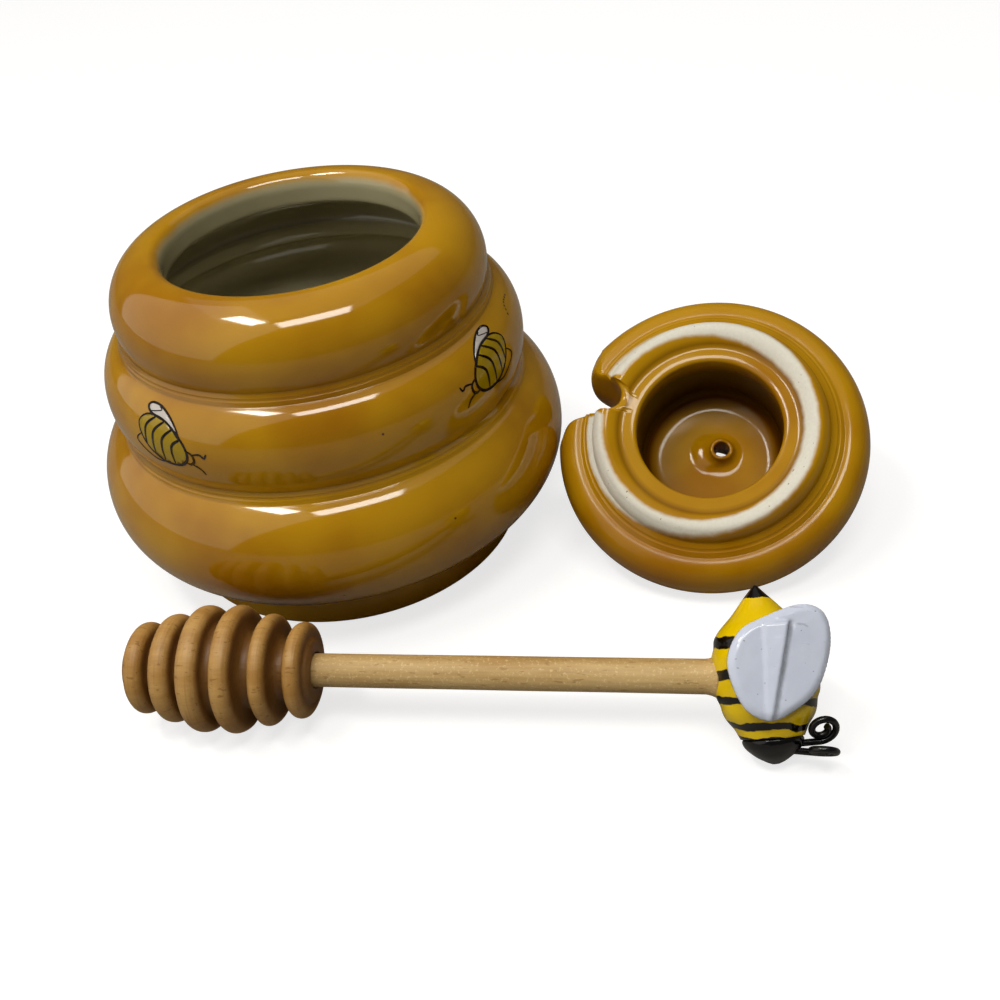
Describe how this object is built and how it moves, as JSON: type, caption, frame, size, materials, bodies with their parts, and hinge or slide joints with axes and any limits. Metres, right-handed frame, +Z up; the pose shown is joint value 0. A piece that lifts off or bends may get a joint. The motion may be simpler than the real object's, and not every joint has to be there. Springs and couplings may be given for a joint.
{
  "type": "honey pot",
  "caption": "Beehive-shaped glazed ceramic honey pot with a loose notched lid laid upside down beside it and a turned wooden honey dipper with a painted bee on its end.",
  "frame": {"origin": "on the table, under the middle of the bounding box of the whole set", "axes": "+X along the dipper, from its grooved head to the bee; +Y from the dipper towards the pot; +Z up"},
  "size_m": [0.1968, 0.1514, 0.086],
  "materials": {
    "honey_glaze": "gloss",
    "turned_beech": "matte",
    "beech_dowel": "matte",
    "yellow_paint": "gloss",
    "black_paint": "gloss",
    "white_paint": "gloss",
    "black_wire": "satin"
  },
  "bodies": {
    "pot": {"pot": "honey_glaze"},
    "lid": {"lid": "honey_glaze"},
    "dipper": {"dipper_head": "turned_beech", "dipper_stick": "beech_dowel", "bee_body": "yellow_paint", "bee_head": "black_paint", "bee_wings": "white_paint", "antenna_left": "black_wire", "antenna_right": "black_wire"}
  },
  "joints": [
    {"name": "lid_lift", "type": "slide", "parent": "pot", "child": "lid", "axis": [0, 0, 1], "range_m": [0, 0.15]},
    {"name": "dipper_lift", "type": "slide", "parent": "pot", "child": "dipper", "axis": [0, 0, 1], "range_m": [0, 0.15]}
  ]
}
